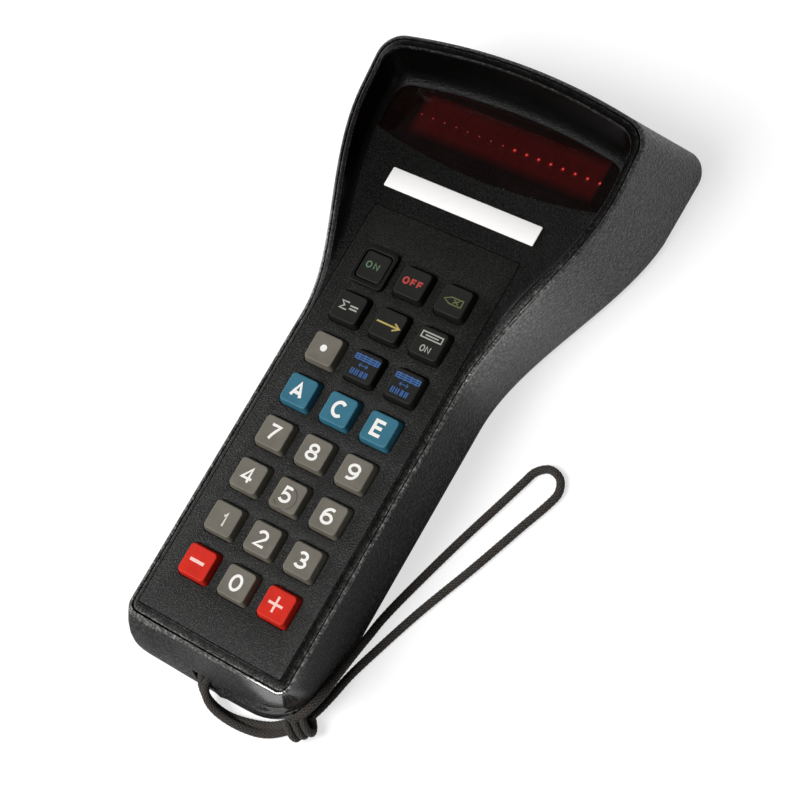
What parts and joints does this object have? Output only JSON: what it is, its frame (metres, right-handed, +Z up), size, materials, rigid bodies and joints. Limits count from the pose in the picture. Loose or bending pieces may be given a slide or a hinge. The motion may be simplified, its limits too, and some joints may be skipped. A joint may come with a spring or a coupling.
{
  "type": "portable barcode data terminal",
  "caption": "Hand-held bar code data terminal: T-shaped shell, hooded LED display window, keypad of square keys, battery door in the back, data port in the head and a cord wrist strap.",
  "frame": {"origin": "middle of the flat back that the terminal lies on", "axes": "+X to the right seen from the keys, +Y from the foot towards the display, +Z up out of the keypad"},
  "size_m": [0.1191, 0.2308, 0.0443],
  "materials": {
    "shell_black": "fine pebble grain",
    "panel_black": "fine matt grain",
    "lens_smoke": "smoked red, polished",
    "label_white": "satin",
    "key_black": "satin",
    "key_grey": "satin",
    "key_blue": "satin",
    "key_red": "satin",
    "mat_rubber": "matt",
    "board_green": "satin",
    "steel": "plated",
    "led_red": "clear red",
    "inner_black": "matt",
    "ribbon_grey": "satin",
    "cell_wrap": "printed wrap, plain",
    "insert_brass": "machined",
    "cord_black": "braided"
  },
  "bodies": {
    "housing": {"rear_housing": "shell_black", "front_housing": "shell_black", "keypad_panel": "panel_black", "display_lens": "lens_smoke", "label_plate": "label_white", "key_mat": "mat_rubber", "keypad_board": "board_green", "board_screws": "steel", "display_board": "board_green", "display_modules": "led_red", "display_shade": "inner_black", "logic_board": "board_green", "logic_chips": "inner_black", "keypad_ribbon": "ribbon_grey", "display_ribbon": "ribbon_grey", "buzzer": "inner_black", "battery_cells": "cell_wrap", "battery_springs": "steel", "battery_contacts": "steel", "door_hinge_pin": "steel", "shell_screws": "steel", "threaded_inserts": "insert_brass", "port_socket": "steel", "port_jackscrews": "steel", "strap_anchor": "steel", "wrist_cord": "cord_black", "cord_knot": "cord_black"},
    "key_on": {"key_on": "key_black"},
    "key_off": {"key_off": "key_black"},
    "key_clear": {"key_clear": "key_black"},
    "key_totals": {"key_totals": "key_black"},
    "key_send": {"key_send": "key_black"},
    "key_display": {"key_display": "key_black"},
    "key_dot": {"key_dot": "key_grey"},
    "key_memory": {"key_memory": "key_black"},
    "key_scan": {"key_scan": "key_black"},
    "key_a": {"key_a": "key_blue"},
    "key_c": {"key_c": "key_blue"},
    "key_e": {"key_e": "key_blue"},
    "key_7": {"key_7": "key_grey"},
    "key_8": {"key_8": "key_grey"},
    "key_9": {"key_9": "key_grey"},
    "key_4": {"key_4": "key_grey"},
    "key_5": {"key_5": "key_grey"},
    "key_6": {"key_6": "key_grey"},
    "key_1": {"key_1": "key_grey"},
    "key_2": {"key_2": "key_grey"},
    "key_3": {"key_3": "key_grey"},
    "key_minus": {"key_minus": "key_red"},
    "key_0": {"key_0": "key_grey"},
    "key_plus": {"key_plus": "key_red"},
    "battery_door": {"battery_door": "shell_black"}
  },
  "joints": [
    {"name": "key_on_press", "type": "slide", "parent": "housing", "child": "key_on", "axis": [0, 0, -1], "range_m": [0, 0.0012], "stiffness_N_per_m": 500},
    {"name": "key_off_press", "type": "slide", "parent": "housing", "child": "key_off", "axis": [0, 0, -1], "range_m": [0, 0.0012], "stiffness_N_per_m": 500},
    {"name": "key_clear_press", "type": "slide", "parent": "housing", "child": "key_clear", "axis": [0, 0, -1], "range_m": [0, 0.0012], "stiffness_N_per_m": 500},
    {"name": "key_totals_press", "type": "slide", "parent": "housing", "child": "key_totals", "axis": [0, 0, -1], "range_m": [0, 0.0012], "stiffness_N_per_m": 500},
    {"name": "key_send_press", "type": "slide", "parent": "housing", "child": "key_send", "axis": [0, 0, -1], "range_m": [0, 0.0012], "stiffness_N_per_m": 500},
    {"name": "key_display_press", "type": "slide", "parent": "housing", "child": "key_display", "axis": [0, 0, -1], "range_m": [0, 0.0012], "stiffness_N_per_m": 500},
    {"name": "key_dot_press", "type": "slide", "parent": "housing", "child": "key_dot", "axis": [0, 0, -1], "range_m": [0, 0.0012], "stiffness_N_per_m": 500},
    {"name": "key_memory_press", "type": "slide", "parent": "housing", "child": "key_memory", "axis": [0, 0, -1], "range_m": [0, 0.0012], "stiffness_N_per_m": 500},
    {"name": "key_scan_press", "type": "slide", "parent": "housing", "child": "key_scan", "axis": [0, 0, -1], "range_m": [0, 0.0012], "stiffness_N_per_m": 500},
    {"name": "key_a_press", "type": "slide", "parent": "housing", "child": "key_a", "axis": [0, 0, -1], "range_m": [0, 0.0012], "stiffness_N_per_m": 500},
    {"name": "key_c_press", "type": "slide", "parent": "housing", "child": "key_c", "axis": [0, 0, -1], "range_m": [0, 0.0012], "stiffness_N_per_m": 500},
    {"name": "key_e_press", "type": "slide", "parent": "housing", "child": "key_e", "axis": [0, 0, -1], "range_m": [0, 0.0012], "stiffness_N_per_m": 500},
    {"name": "key_7_press", "type": "slide", "parent": "housing", "child": "key_7", "axis": [0, 0, -1], "range_m": [0, 0.0012], "stiffness_N_per_m": 500},
    {"name": "key_8_press", "type": "slide", "parent": "housing", "child": "key_8", "axis": [0, 0, -1], "range_m": [0, 0.0012], "stiffness_N_per_m": 500},
    {"name": "key_9_press", "type": "slide", "parent": "housing", "child": "key_9", "axis": [0, 0, -1], "range_m": [0, 0.0012], "stiffness_N_per_m": 500},
    {"name": "key_4_press", "type": "slide", "parent": "housing", "child": "key_4", "axis": [0, 0, -1], "range_m": [0, 0.0012], "stiffness_N_per_m": 500},
    {"name": "key_5_press", "type": "slide", "parent": "housing", "child": "key_5", "axis": [0, 0, -1], "range_m": [0, 0.0012], "stiffness_N_per_m": 500},
    {"name": "key_6_press", "type": "slide", "parent": "housing", "child": "key_6", "axis": [0, 0, -1], "range_m": [0, 0.0012], "stiffness_N_per_m": 500},
    {"name": "key_1_press", "type": "slide", "parent": "housing", "child": "key_1", "axis": [0, 0, -1], "range_m": [0, 0.0012], "stiffness_N_per_m": 500},
    {"name": "key_2_press", "type": "slide", "parent": "housing", "child": "key_2", "axis": [0, 0, -1], "range_m": [0, 0.0012], "stiffness_N_per_m": 500},
    {"name": "key_3_press", "type": "slide", "parent": "housing", "child": "key_3", "axis": [0, 0, -1], "range_m": [0, 0.0012], "stiffness_N_per_m": 500},
    {"name": "key_minus_press", "type": "slide", "parent": "housing", "child": "key_minus", "axis": [0, 0, -1], "range_m": [0, 0.0012], "stiffness_N_per_m": 500},
    {"name": "key_0_press", "type": "slide", "parent": "housing", "child": "key_0", "axis": [0, 0, -1], "range_m": [0, 0.0012], "stiffness_N_per_m": 500},
    {"name": "key_plus_press", "type": "slide", "parent": "housing", "child": "key_plus", "axis": [0, 0, -1], "range_m": [0, 0.0012], "stiffness_N_per_m": 500},
    {"name": "battery_door_hinge", "type": "hinge", "parent": "housing", "child": "battery_door", "pos_m": [0, -0.0884, 0.002], "axis": [-1, 0, 0], "range_deg": [0, 100]}
  ]
}
